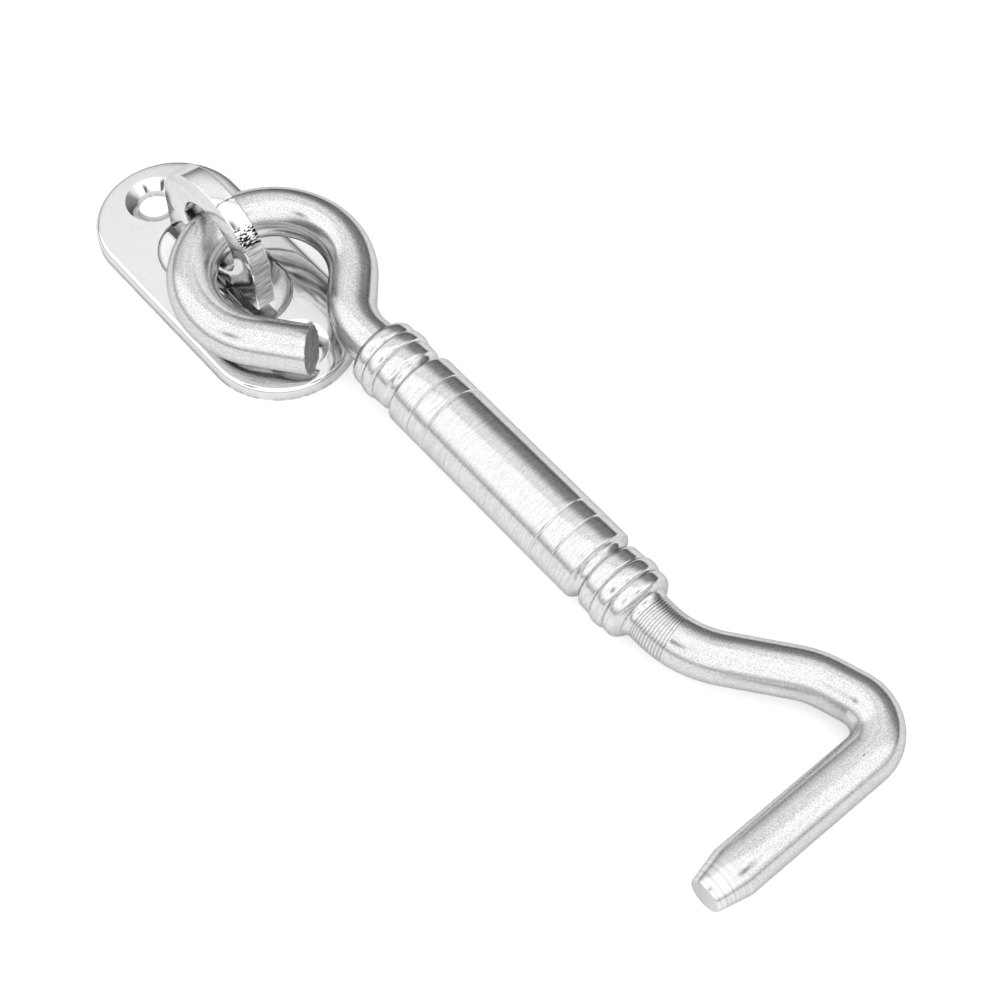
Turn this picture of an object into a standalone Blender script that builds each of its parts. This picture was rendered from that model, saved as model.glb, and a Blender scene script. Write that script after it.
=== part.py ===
"""Hook and eye latch: an oval base plate, an eye that swivels on it, and a hook arm hung in the eye.

Millimetres throughout, turned to metres by MM. The origin is the middle of the base plate's back
face, +Z points away from the surface it is screwed to, and +X runs along the plate towards the hook.
"""

import math

import bmesh
import bpy
from mathutils import Matrix, Vector

MM = 0.001

# Clearances between neighbouring pieces
SEAT_GAP = 0.3
TURN_GAP = 0.35

# Base plate
PLATE_LENGTH = 54.8
PLATE_WIDTH = 25.4
PLATE_SIDE = 1.4
PLATE_EDGE_RADIUS = 1.1
PLATE_CROWN = 3.1
RECESS_LENGTH = 26.8
RECESS_WIDTH = 15.4
RECESS_FLOOR_WIDTH = 9.6
RECESS_FLOOR = 2.1
SCREW_FROM_END = 7.5
SCREW_HOLE = 5.7
COUNTERSINK = 9.9
COUNTERSINK_LAND = 1.4
COUNTERSINK_RISE = 1.45
BACK_BORE_DEPTH = 1.3

# Eye
EYE_WIDTH = 23.6
EYE_THICKNESS = 3.5
EYE_FOOT_HEIGHT = 3.7
EYE_CENTRE_HEIGHT = 11.0
EYE_HOLE = 12.6
EYE_HOLE_HEIGHT = 11.4
EYE_EDGE_BEVEL = 0.4
EYE_SET_BACK = 1.1
EYE_SIDE_SHIFT = 0.4
EYE_TURN = 0.97
TANG_WIDTH = 3.6
WASHER_THICKNESS = 0.5
WASHER_RIM = 3.0
PEENED_HEAD_THICKNESS = 0.3
PEENED_HEAD_RIM = 0.9

# Hook arm, measured along its own axis from the point where it hangs in the eye
ROD = 8.0
PIVOT_BEHIND_HOLE = 0.9
PIVOT_BELOW_HOLE = 1.2
RING_RADIUS = 12.8
RING_OFFSET = 4.0
CUT_LEG_LENGTH = 9.9
CUT_LEG_ANGLE = 39.0
NECK_ANGLE = 42.0
NECK_BEND_RADIUS = 10.0
RING_TO_GRIP = 21.4
AXIS_OFFSET = 6.3

# Turned grip
GRIP_LENGTH = 61.0
GRIP = 12.74
BARREL_LENGTH = 25.0
COLLAR_LENGTH = 3.6
SHOULDER_LENGTH = 4.2
GROOVE_DEPTH = 0.22
GROOVE_HALF_WIDTH = 0.22
NECK = 10.3
SWELL = 11.8
BEAD = 12.62
FLANGE = 11.9
SPIGOT = 12.0
FILLET = 0.3
END_ROUNDING = 0.9
END_LAND = 0.35

# Where the forms of the turned end lie, as shares of the way from the rim to the grip's end
NECK_SHARES = (0.07, 0.12, 0.17)
SWELL_SHARES = (0.21, 0.26, 0.40, 0.45)
BEAD_SHARES = (0.48, 0.53, 0.60, 0.66)
FLANGE_SHARES = (0.70, 0.75, 0.86, 0.92, 0.96)

# Hook end
SWAN_START = 2.6
SWAN_ANGLE = 38.0
SWAN_RADIUS = 17.0
SWAN_RUN = 10.5
SHOULDER_ANGLE = 18.0
SHOULDER_RADIUS = 15.0
SHOULDER_RUN = 4.0
HOOK_BEND_RADIUS = 6.0
TIP_REACH = 23.6
TAPER_LENGTH = 5.5
TIP = 5.3

# Facets
ROD_SIDES = 24
GRIP_SIDES = 48
ARC_STEP = 9.0

# Worked out from the sizes above
HALF_LENGTH = PLATE_LENGTH / 2
HALF_WIDTH = PLATE_WIDTH / 2
SCREW_SPACING = PLATE_LENGTH - 2 * SCREW_FROM_END
ROD_RADIUS = ROD / 2
GRIP_RADIUS = GRIP / 2
EYE_RADIUS = EYE_WIDTH / 2
TANG_RADIUS = math.hypot(TANG_WIDTH / 2, EYE_THICKNESS / 2 + EYE_SIDE_SHIFT)
STEM_HOLE_RADIUS = TANG_RADIUS + TURN_GAP
WASHER_RADIUS = STEM_HOLE_RADIUS + WASHER_RIM
WASHER_TOP = BACK_BORE_DEPTH - SEAT_GAP
WASHER_BOTTOM = WASHER_TOP - WASHER_THICKNESS
HEAD_TOP = WASHER_BOTTOM - SEAT_GAP / 2
HEAD_BOTTOM = HEAD_TOP - PEENED_HEAD_THICKNESS
PIVOT = Vector((-EYE_SET_BACK - PIVOT_BEHIND_HOLE, 0.0, EYE_HOLE_HEIGHT - PIVOT_BELOW_HOLE))


def clear_scene():
    for thing in list(bpy.data.objects):
        bpy.data.objects.remove(thing, do_unlink=True)


def metal(name, colour, roughness):
    material = bpy.data.materials.new(name)
    material.use_nodes = True
    shader = material.node_tree.nodes["Principled BSDF"]
    shader.inputs["Base Color"].default_value = (*colour, 1.0)
    shader.inputs["Metallic"].default_value = 1.0
    shader.inputs["Roughness"].default_value = roughness
    return material


def make_object(name, bm, material, parent=None):
    """Turns a bmesh drawn in millimetres into an object in metres."""
    bmesh.ops.scale(bm, vec=(MM, MM, MM), verts=bm.verts)
    bmesh.ops.recalc_face_normals(bm, faces=bm.faces)
    mesh = bpy.data.meshes.new(name)
    bm.to_mesh(mesh)
    bm.free()
    mesh.shade_smooth()
    mesh.set_sharp_from_angle(angle=math.radians(30))
    thing = bpy.data.objects.new(name, mesh)
    bpy.context.scene.collection.objects.link(thing)
    if material:
        mesh.materials.append(material)
    thing.parent = parent
    return thing


def make_cutter(name, bm, parent=None):
    cutter = make_object(name, bm, None, parent)
    cutter.hide_render = True
    cutter.display_type = "WIRE"
    return cutter


def add_boolean(thing, cutter, operation="DIFFERENCE"):
    modifier = thing.modifiers.new(cutter.name, "BOOLEAN")
    modifier.operation = operation
    modifier.solver = "EXACT"
    modifier.object = cutter


def loft(rings):
    """Closed solid through rings of points that all have the same count."""
    bm = bmesh.new()
    loops = [[bm.verts.new(point) for point in ring] for ring in rings]
    for lower, upper in zip(loops, loops[1:]):
        for i in range(len(lower)):
            j = (i + 1) % len(lower)
            bm.faces.new((lower[i], lower[j], upper[j], upper[i]))
    bm.faces.new(list(reversed(loops[0])))
    bm.faces.new(loops[-1])
    return bm


def obround(half_length, half_width, z, steps=16):
    """Outline of a bar with round ends, along X."""
    reach = half_length - half_width
    ring = []
    for end in (1, -1):
        for i in range(steps + 1):
            angle = math.radians(180 * i / steps - 90 * end)
            x = half_width * math.cos(angle) + reach * end
            y = half_width * math.sin(angle)
            ring.append((x, y, z))
    return ring


def disc(radius, z, steps=ROD_SIDES):
    return [
        (radius * math.cos(math.tau * i / steps), radius * math.sin(math.tau * i / steps), z)
        for i in range(steps)
    ]


def moved(rings, x):
    return [[(px + x, py, pz) for px, py, pz in ring] for ring in rings]


def plate_height(inset):
    """Height of the plate's crowned top at a distance in from its outline."""
    shoulder = PLATE_SIDE + PLATE_EDGE_RADIUS
    share = (inset - PLATE_EDGE_RADIUS) / (HALF_WIDTH - PLATE_EDGE_RADIUS)
    return shoulder + (PLATE_CROWN - shoulder) * math.sin(share * math.pi / 2)


def make_plate(material):
    profile = [(0.0, 0.0)]
    for i in range(4):
        angle = math.radians(25 * i)
        inset = PLATE_EDGE_RADIUS * (1 - math.cos(angle))
        profile.append((inset, PLATE_SIDE + PLATE_EDGE_RADIUS * math.sin(angle)))
    steps = 7
    for i in range(1, steps + 1):
        inset = PLATE_EDGE_RADIUS + (HALF_WIDTH * 0.96 - PLATE_EDGE_RADIUS) * i / steps
        profile.append((inset, plate_height(inset)))
    rings = [obround(HALF_LENGTH - inset, HALF_WIDTH - inset, z) for inset, z in profile]
    plate = make_object("base_plate", loft(rings), material)

    floor_half_width = RECESS_FLOOR_WIDTH / 2
    rim_half_width = RECESS_WIDTH / 2
    reach = (RECESS_LENGTH - RECESS_WIDTH) / 2
    bowl = []
    for i in range(7):
        angle = math.radians(15 * i)
        half_width = floor_half_width + (rim_half_width - floor_half_width) * math.sin(angle)
        z = PLATE_CROWN - (PLATE_CROWN - RECESS_FLOOR) * math.cos(angle)
        bowl.append(obround(reach + half_width, half_width, z))
    bowl.append(obround(reach + rim_half_width, rim_half_width, PLATE_CROWN + 1))
    add_boolean(plate, make_cutter("recess_cutter", loft(bowl)))

    shaft = [disc(STEM_HOLE_RADIUS, z, 32) for z in (0.5, PLATE_CROWN)]
    add_boolean(plate, make_cutter("stem_hole_cutter", loft(shaft)))
    bore_radius = WASHER_RADIUS + TURN_GAP
    bore = [disc(bore_radius, z, 40) for z in (-1.0, BACK_BORE_DEPTH)]
    add_boolean(plate, make_cutter("back_bore_cutter", loft(bore)))

    beyond = COUNTERSINK - SCREW_HOLE / 2
    screw = [
        disc(SCREW_HOLE / 2, -1.0, 32),
        disc(SCREW_HOLE / 2, COUNTERSINK_LAND, 32),
        disc(beyond, COUNTERSINK_LAND + 2 * COUNTERSINK_RISE, 32),
    ]
    for side in (-1, 1):
        rings = moved(screw, side * SCREW_SPACING / 2)
        add_boolean(plate, make_cutter("screw_hole_cutter", loft(rings)))
    return plate


def make_eye(material, parent):
    outline = [
        (TANG_WIDTH / 2, EYE_FOOT_HEIGHT),
        (EYE_RADIUS - EYE_SET_BACK, EYE_FOOT_HEIGHT),
    ]
    steps = 36
    for i in range(steps + 1):
        angle = math.pi * i / steps
        x = EYE_RADIUS * math.cos(angle) - EYE_SET_BACK
        z = EYE_CENTRE_HEIGHT + EYE_RADIUS * math.sin(angle)
        outline.append((x, z))
    outline += [
        (-EYE_RADIUS - EYE_SET_BACK, EYE_FOOT_HEIGHT),
        (-TANG_WIDTH / 2, EYE_FOOT_HEIGHT),
        (-TANG_WIDTH / 2, HEAD_TOP),
        (TANG_WIDTH / 2, HEAD_TOP),
    ]
    near = EYE_SIDE_SHIFT - EYE_THICKNESS / 2
    sides = [[(x, y, z) for x, z in outline] for y in (near, near + EYE_THICKNESS)]
    eye = make_object("eye", loft(sides), material, parent)

    hole = []
    for y in (-EYE_THICKNESS, EYE_THICKNESS):
        ring = disc(EYE_HOLE / 2, 0.0, 40)
        hole.append([(x - EYE_SET_BACK, y, EYE_HOLE_HEIGHT + z) for x, z, _ in ring])
    add_boolean(eye, make_cutter("eye_hole_cutter", loft(hole), parent))
    bevel = eye.modifiers.new("rounded edges", "BEVEL")
    bevel.width = EYE_EDGE_BEVEL * MM
    bevel.segments = 2
    bevel.limit_method = "ANGLE"
    bevel.angle_limit = math.radians(50)

    head_radius = TANG_RADIUS + PEENED_HEAD_RIM
    head = [disc(head_radius, HEAD_BOTTOM), disc(head_radius, HEAD_TOP + 0.01)]
    add_boolean(eye, make_cutter("peened_head", loft(head), parent), "UNION")
    return eye


def make_washer(material, parent):
    rings = [disc(WASHER_RADIUS, z, 40) for z in (WASHER_BOTTOM, WASHER_TOP)]
    washer = make_object("eye_washer", loft(rings), material, parent)
    half_x = TANG_WIDTH / 2 + SEAT_GAP
    near = EYE_SIDE_SHIFT - EYE_THICKNESS / 2 - SEAT_GAP
    far = EYE_SIDE_SHIFT + EYE_THICKNESS / 2 + SEAT_GAP
    corners = [(half_x, far), (-half_x, far), (-half_x, near), (half_x, near)]
    slot = [[(x, y, z) for x, y in corners] for z in (WASHER_BOTTOM - 1, WASHER_TOP + 1)]
    add_boolean(washer, make_cutter("tang_slot_cutter", loft(slot), parent))
    return washer


class Path:
    """A flat path drawn by going straight ahead and turning along arcs."""

    def __init__(self, x, y, heading):
        self.x, self.y, self.heading = x, y, heading
        self.points = [(x, y, heading)]

    def ahead(self, length, steps=1):
        for _ in range(steps):
            self.x += length / steps * math.cos(math.radians(self.heading))
            self.y += length / steps * math.sin(math.radians(self.heading))
            self.points.append((self.x, self.y, self.heading))

    def turn(self, angle, radius):
        """Turns left for a positive angle and right for a negative one."""
        steps = max(2, math.ceil(abs(angle) / ARC_STEP))
        side = math.copysign(1, angle)
        start = math.radians(self.heading)
        centre_x = self.x - side * radius * math.sin(start)
        centre_y = self.y + side * radius * math.cos(start)
        for i in range(1, steps + 1):
            now = start + math.radians(angle) * i / steps
            self.x = centre_x + side * radius * math.sin(now)
            self.y = centre_y - side * radius * math.cos(now)
            self.heading = math.degrees(now)
            self.points.append((self.x, self.y, self.heading))


def sweep(points, radii):
    rings = []
    for (x, y, heading), radius in zip(points, radii):
        across = (-math.sin(math.radians(heading)), math.cos(math.radians(heading)))
        ring = []
        for i in range(ROD_SIDES):
            angle = math.tau * (i + 0.5) / ROD_SIDES
            side = radius * math.cos(angle)
            ring.append((x + side * across[0], y + side * across[1], radius * math.sin(angle)))
        rings.append(ring)
    return loft(rings)


def ring_centre():
    """Centre of the loop, placed so that its rod passes the pivot."""
    behind = math.sqrt(RING_RADIUS**2 - (AXIS_OFFSET - RING_OFFSET) ** 2)
    return behind, AXIS_OFFSET - RING_OFFSET


def grip_start():
    return ring_centre()[0] + RING_TO_GRIP


def make_loop_rod(material, parent):
    centre_x, centre_y = ring_centre()
    heading = math.radians(180 + CUT_LEG_ANGLE)
    start_x = centre_x - RING_RADIUS * math.sin(heading)
    start_y = centre_y + RING_RADIUS * math.cos(heading)
    start_x -= CUT_LEG_LENGTH * math.cos(heading)
    start_y -= CUT_LEG_LENGTH * math.sin(heading)
    path = Path(start_x, start_y, 180 + CUT_LEG_ANGLE)
    path.ahead(CUT_LEG_LENGTH, 2)
    path.turn(-(180 + CUT_LEG_ANGLE + NECK_ANGLE), RING_RADIUS)
    drop = path.y - AXIS_OFFSET
    bend_drop = NECK_BEND_RADIUS * (1 - math.cos(math.radians(NECK_ANGLE)))
    path.ahead((drop - bend_drop) / math.sin(math.radians(NECK_ANGLE)))
    path.turn(NECK_ANGLE, NECK_BEND_RADIUS)
    path.ahead(grip_start() + SPIGOT - SEAT_GAP - path.x, 2)
    radii = [ROD_RADIUS] * len(path.points)
    return make_object("loop_rod", sweep(path.points, radii), material, parent)


def grip_profile():
    """Half of the grip's outline, from its middle outwards, as distance along and radius."""
    groove = GRIP_RADIUS - GROOVE_DEPTH
    first = BARREL_LENGTH / 2
    second = first + COLLAR_LENGTH
    rim = second + SHOULDER_LENGTH
    end = GRIP_LENGTH / 2
    wide = GROOVE_HALF_WIDTH
    profile = [
        (first - wide, GRIP_RADIUS),
        (first, groove),
        (first + wide, GRIP_RADIUS),
        (second - wide, GRIP_RADIUS),
        (second, groove),
        (second + wide, GRIP_RADIUS),
        (rim - wide, GRIP_RADIUS),
        (rim, GRIP_RADIUS - wide / 2),
    ]
    neck, swell, bead, flange = NECK / 2, SWELL / 2, BEAD / 2, FLANGE / 2
    forms = [
        (NECK_SHARES, (neck + FILLET, neck, neck + FILLET / 2)),
        (SWELL_SHARES, (swell - FILLET, swell, swell, swell - FILLET / 2)),
        (BEAD_SHARES, (bead - FILLET, bead, bead, bead - FILLET)),
        (FLANGE_SHARES, (flange - FILLET, flange, flange, flange - FILLET, flange - END_ROUNDING)),
    ]
    for shares, radii in forms:
        profile += [(rim + share * (end - rim), radius) for share, radius in zip(shares, radii)]
    profile.append((end, ROD_RADIUS + SEAT_GAP + END_LAND))
    return profile


def bead_from_end():
    """Distance from the grip's end back to the crest of its last bead."""
    turned_end = (GRIP_LENGTH - BARREL_LENGTH) / 2 - COLLAR_LENGTH - SHOULDER_LENGTH
    return turned_end * (1 - (BEAD_SHARES[1] + BEAD_SHARES[2]) / 2)


def make_grip(material, parent):
    bore = ROD_RADIUS + SEAT_GAP
    half = grip_profile()
    end = GRIP_LENGTH / 2
    floor = end - SPIGOT
    outline = [(-floor, 0.0), (-floor, bore), (-end, bore)]
    outline += [(-u, r) for u, r in reversed(half)]
    outline += half
    outline += [(end, bore), (floor, bore), (floor, 0.0)]
    bm = bmesh.new()
    verts = [bm.verts.new((u, r, 0.0)) for u, r in outline]
    edges = [bm.edges.new(pair) for pair in zip(verts, verts[1:])]
    bmesh.ops.spin(
        bm,
        geom=verts + edges,
        cent=(0, 0, 0),
        axis=(1, 0, 0),
        angle=math.tau,
        steps=GRIP_SIDES,
        use_merge=True,
    )
    bmesh.ops.remove_doubles(bm, verts=bm.verts, dist=0.0001)
    grip = make_object("grip", bm, material, parent)
    grip.location = Vector((grip_start() + end, AXIS_OFFSET, 0)) * MM
    return grip


def make_hook_rod(material, parent):
    grip_end = grip_start() + GRIP_LENGTH
    path = Path(grip_end - SPIGOT + SEAT_GAP, AXIS_OFFSET, 0)
    path.ahead(SPIGOT - SEAT_GAP + SWAN_START, 2)
    path.turn(SWAN_ANGLE, SWAN_RADIUS)
    path.ahead(SWAN_RUN, 2)
    path.turn(SHOULDER_ANGLE - SWAN_ANGLE, SHOULDER_RADIUS)
    path.ahead(SHOULDER_RUN)
    path.turn(-90 - SHOULDER_ANGLE, HOOK_BEND_RADIUS)
    leg = path.y - AXIS_OFFSET + TIP_REACH
    path.ahead(leg - TAPER_LENGTH, 2)
    path.ahead(TAPER_LENGTH)
    radii = [ROD_RADIUS] * (len(path.points) - 1) + [TIP / 2]
    return make_object("hook_rod", sweep(path.points, radii), material, parent)


def arm_tilt():
    """Slope at which the arm lies when its grip's last bead rests on the surface under the plate."""
    reach = grip_start() + GRIP_LENGTH - bead_from_end()
    return math.asin((PIVOT.z - BEAD / 2) / math.hypot(reach, PIVOT.z - BEAD / 2))


def main():
    clear_scene()
    polished = metal("polished stainless steel", (0.72, 0.72, 0.72), 0.08)
    filed = metal("polished stamped stainless steel", (0.68, 0.68, 0.68), 0.15)
    washer_steel = metal("stainless washer", (0.6, 0.6, 0.6), 0.35)
    satin = metal("satin stainless rod", (0.66, 0.66, 0.66), 0.38)
    turned = metal("lathe turned stainless steel", (0.7, 0.7, 0.7), 0.22)

    make_plate(polished)
    swivel = bpy.data.objects.new("eye_swivel", None)
    bpy.context.scene.collection.objects.link(swivel)
    swivel.rotation_euler.z = math.radians(EYE_TURN)
    make_eye(filed, swivel)
    make_washer(washer_steel, swivel)

    lift = bpy.data.objects.new("hook_lift", None)
    bpy.context.scene.collection.objects.link(lift)
    lift.parent = swivel
    lift.matrix_local = Matrix.Translation(PIVOT * MM) @ Matrix.Rotation(arm_tilt(), 4, "Y")
    make_loop_rod(satin, lift)
    make_grip(turned, lift)
    make_hook_rod(satin, lift)


main()
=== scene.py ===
"""Looks of a hook and eye latch in stainless steel: a plate, its swivelling eye and a hook arm with a grip.

Pieces are drawn in millimetres and turned to metres at the end. The plate is drawn where it stands and
the eye on its own swivel. The hook arm is drawn flat, along +X from the point where it hangs in the
eye, and then tilted down to the surface as a whole.
"""

import math

import bmesh
import bpy
from mathutils import Matrix, Vector, noise


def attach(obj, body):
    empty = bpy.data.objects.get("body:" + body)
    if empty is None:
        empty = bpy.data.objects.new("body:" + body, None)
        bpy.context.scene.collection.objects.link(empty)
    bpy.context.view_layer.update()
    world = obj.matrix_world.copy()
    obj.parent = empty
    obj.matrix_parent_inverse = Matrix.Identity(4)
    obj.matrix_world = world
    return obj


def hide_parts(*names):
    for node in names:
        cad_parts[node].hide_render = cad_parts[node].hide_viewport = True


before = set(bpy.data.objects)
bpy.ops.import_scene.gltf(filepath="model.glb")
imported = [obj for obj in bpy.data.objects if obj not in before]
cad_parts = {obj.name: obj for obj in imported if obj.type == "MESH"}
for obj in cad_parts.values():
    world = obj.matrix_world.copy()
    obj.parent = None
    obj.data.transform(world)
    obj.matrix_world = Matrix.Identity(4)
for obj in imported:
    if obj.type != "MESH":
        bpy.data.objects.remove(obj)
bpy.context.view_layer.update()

MM = 0.001

# Base plate
PLATE_LENGTH = 54.8
PLATE_WIDTH = 25.4
PLATE_SIDE = 1.4
PLATE_EDGE_RADIUS = 1.1
PLATE_CROWN = 3.1
PLATE_ARRIS = 0.13
RECESS_LENGTH = 26.8
RECESS_WIDTH = 15.4
RECESS_FLOOR_WIDTH = 9.6
RECESS_FLOOR = 2.1
SCREW_SPACING = 39.8
SCREW_HOLE = 5.7
COUNTERSINK = 9.9
COUNTERSINK_LAND = 1.4
COUNTERSINK_RISE = 1.45
STEM_HOLE_RADIUS = 3.155
BACK_BORE_RADIUS = 6.505
BACK_BORE_DEPTH = 1.3

# Eye
EYE_RADIUS = 11.8
EYE_THICKNESS = 3.5
EYE_FOOT_HEIGHT = 3.7
EYE_CENTRE_HEIGHT = 11.0
EYE_HOLE_RADIUS = 6.3
EYE_HOLE_HEIGHT = 11.4
EYE_SET_BACK = 1.1
EYE_SIDE_SHIFT = 0.4
EYE_TURN = 0.97
EYE_ARRIS = 0.28
FILED_TO_HEIGHT = 17.0
TANG_WIDTH = 3.6
TANG_BOTTOM = 0.35
TANG_GAP = 0.3
HEAD_RADIUS = 3.705
HEAD_THICKNESS = 0.3
WASHER_RADIUS = 6.155
WASHER_BOTTOM = 0.5
WASHER_TOP = 1.0
WASHER_ARRIS = 0.12

# Marks on the eye's rim: crackle on the hook's side above the filed edge, and a crack over the crown
CRACKLE_BEYOND = 6.6
CRACKLE_FADES_FROM = 18.2
CRACKLE_FADES_TO = 20.2
CRACK_AT = 3.1
CROWN_ABOVE = 22.0

# Hook arm
ROD_RADIUS = 4.0
PIVOT = Vector((-2.0, 0.0, 10.2))
LOOP_RADIUS = 12.8
LOOP_OFFSET = 4.0
CUT_LEG_LENGTH = 9.9
CUT_LEG_ANGLE = 39.0
CUT_SLOPE = 0.16
CUT_ROUGHNESS = 0.16
CUT_BURR = 0.08
NECK_ANGLE = 42.0
NECK_BEND_RADIUS = 10.0
LOOP_TO_GRIP = 21.4
AXIS_OFFSET = 6.3
SWAN_START = 2.6
SWAN_ANGLE = 38.0
SWAN_RADIUS = 17.0
SWAN_RUN = 10.5
SHOULDER_ANGLE = 18.0
SHOULDER_RADIUS = 15.0
SHOULDER_RUN = 4.0
HOOK_BEND_RADIUS = 6.0
TIP_REACH = 23.6
TAPER_LENGTH = 5.5
TIP_RADIUS = 2.65
TIP_ARRIS = 0.12

# Grip
GRIP_LENGTH = 61.0
GRIP_RADIUS = 6.37
GRIP_BORE = 4.3
GRIP_SOCKET = 12.0
SPIGOT = 11.7
BEAD_RADIUS = 6.31
BEAD_FROM_END = 4.437
GROOVE_DEPTH = 0.22

# Fillet and turned rings on the hook's rod beside the grip, and the middle of the first groove along it
FILLET_LENGTH = 1.0
FILLET_RADIUS = 4.45
RING_PITCH = 0.46
RING_COUNT = 12
RING_DEPTH = 0.08
FIRST_RING = SPIGOT + FILLET_LENGTH + 0.375 * RING_PITCH

# Fineness of the round shapes, and how near corners are merged or count as lying on a line
ROD_SIDES = 72
GRIP_SIDES = 144
BEND_STEP = 2.5
MERGED_WITHIN = 0.0005
NEAR = 0.0001

# Camera and light, found by fitting the plate and the arm in the photograph
CAMERA_LIFT = math.radians(57.5)
CAMERA_TURN = math.radians(-49.87)
CAMERA_DISTANCE = 0.354
CAMERA_LENS = 82.7
PLATE_IN_VIEW = Vector((-0.04486, 0.04265, 0.0))
ROOF_LEVEL = 1.33
FAR_RIGHT_LEVEL = 1.08
SEAM_BEARINGS = (-38.0, -137.0)
TABLE_LIFT = 0.38
REFLECTED_LIFT = 0.06

# Bare steel throws back a little less light where it is seen at a glancing angle
GLANCING_TINT = "#D6D6D6"

# A pattern that isn't drawn out in any direction
EVEN = (1.0, 1.0, 1.0)


def linear(code):
    """A hex colour as the linear values that a shader takes."""
    channels = [int(code[i:i + 2], 16) / 255 for i in (1, 3, 5)]
    return [c / 12.92 if c <= 0.04045 else ((c + 0.055) / 1.055) ** 2.4 for c in channels] + [1.0]


def fill(tree, socket, value):
    """Sets a socket to a value or a hex colour, or links it to an output or a node's first one in use."""
    if isinstance(value, bpy.types.Node):
        value = next(output for output in value.outputs if output.enabled)
    if isinstance(value, bpy.types.NodeSocket):
        tree.links.new(value, socket)
    else:
        socket.default_value = linear(value) if isinstance(value, str) else value


def add(tree, kind, inputs=(), **settings):
    """Adds a shader node. Its inputs come by name, or in order, counting the sockets in use.

    In order, a range takes the value, the low and high it comes from and the low and high it goes to,
    and a mix takes the factor and then what it goes from and to.
    """
    node = tree.nodes.new("ShaderNode" + kind)
    for name, value in settings.items():
        setattr(node, name, value)
    if isinstance(inputs, dict):
        pairs = [(node.inputs[name], value) for name, value in inputs.items()]
    else:
        pairs = list(zip([socket for socket in node.inputs if socket.enabled], inputs))
    for socket, value in pairs:
        fill(tree, socket, value)
    return node


def steel(name, colour, roughness):
    """A bare steel with nothing on it yet."""
    material = bpy.data.materials.new(name)
    material.use_nodes = True
    tree = material.node_tree
    shader = tree.nodes["Principled BSDF"]
    shader.inputs["Base Color"].default_value = linear(colour)
    shader.inputs["Metallic"].default_value = 1.0
    shader.inputs["Specular Tint"].default_value = linear(GLANCING_TINT)
    shader.inputs["Roughness"].default_value = roughness
    return material, tree, shader


def dress(tree, shader, colour, normal, roughness=None):
    """Gives a bare steel its colour and relief, and its roughness where that varies."""
    fill(tree, shader.inputs["Base Color"], colour)
    fill(tree, shader.inputs["Normal"], normal)
    if roughness:
        fill(tree, shader.inputs["Roughness"], roughness)


def in_millimetres(tree):
    """A piece's own position in millimetres, for pieces that are patterned where they stand."""
    place = add(tree, "TexCoord").outputs["Object"]
    return add(tree, "VectorMath", (place, 1 / MM), operation="SCALE")


def along_the_rod(tree):
    """Position in millimetres along a rod's own path and across its section."""
    return add(tree, "Attribute", attribute_name="own_mm").outputs["Vector"]


def pattern(tree, place, stretch, per_mm, detail=2.0, turn=(0.0, 0.0, 0.0)):
    """Noise in millimetres, drawn out by the stretch given for each direction."""
    scale = [1 / length for length in stretch]
    turned = add(tree, "Mapping", {"Vector": place, "Rotation": turn, "Scale": scale})
    return add(tree, "TexNoise", {"Vector": turned, "Scale": per_mm, "Detail": detail})


def nicks(tree, place, stretch, apart, radius, share):
    """Small nicks, round or drawn out, at random places about so far apart."""
    drawn = add(tree, "Mapping", {"Vector": place, "Scale": [1 / length for length in stretch]})
    cells = add(tree, "TexVoronoi", {"Vector": drawn, "Scale": 1 / apart})
    edge = radius / apart
    near = add(tree, "MapRange", (cells.outputs["Distance"], 0.6 * edge, edge, 1.0, 0.0))
    pick = add(tree, "SeparateColor", (cells.outputs["Color"],))
    chosen = add(tree, "Math", (pick, 1 - share), operation="GREATER_THAN")
    return add(tree, "Math", (near, chosen), operation="MULTIPLY")


def mirror_polished_steel():
    # Stainless steel buffed to a mirror: a clear reflection, gently wavy, with a haze of buffing marks
    material, tree, shader = steel("mirror polished stainless steel", "#ECECEC", 0.06)
    place = in_millimetres(tree)
    haze = pattern(tree, place, EVEN, 0.35, 5.0)
    cloudy = add(tree, "Mix", (haze, "#E8E8E8", "#F0F0F0"), data_type="RGBA")
    # Specks of about 0.2 mm in groups a few millimetres apart, left by the buffing
    specks = add(tree, "MapRange", (pattern(tree, place, EVEN, 5.0, 1.0), 0.60, 0.70, 0.0, 0.35))
    groups = add(tree, "MapRange", (pattern(tree, place, EVEN, 0.28), 0.50, 0.62, 0.15, 1.0))
    marks = add(tree, "Math", (specks, groups), operation="MULTIPLY")
    waves = add(tree, "Bump", {"Height": pattern(tree, place, EVEN, 0.16), "Distance": 0.05 * MM})
    ripples = pattern(tree, place, EVEN, 1.6, 3.0)
    dress(
        tree,
        shader,
        colour=add(tree, "Mix", (marks, cloudy, "#A0A0A0"), data_type="RGBA"),
        normal=add(tree, "Bump", {"Height": ripples, "Distance": 0.003 * MM, "Normal": waves}),
        roughness=add(tree, "MapRange", (haze, 0.35, 0.7, 0.05, 0.13)),
    )
    return material


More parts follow.
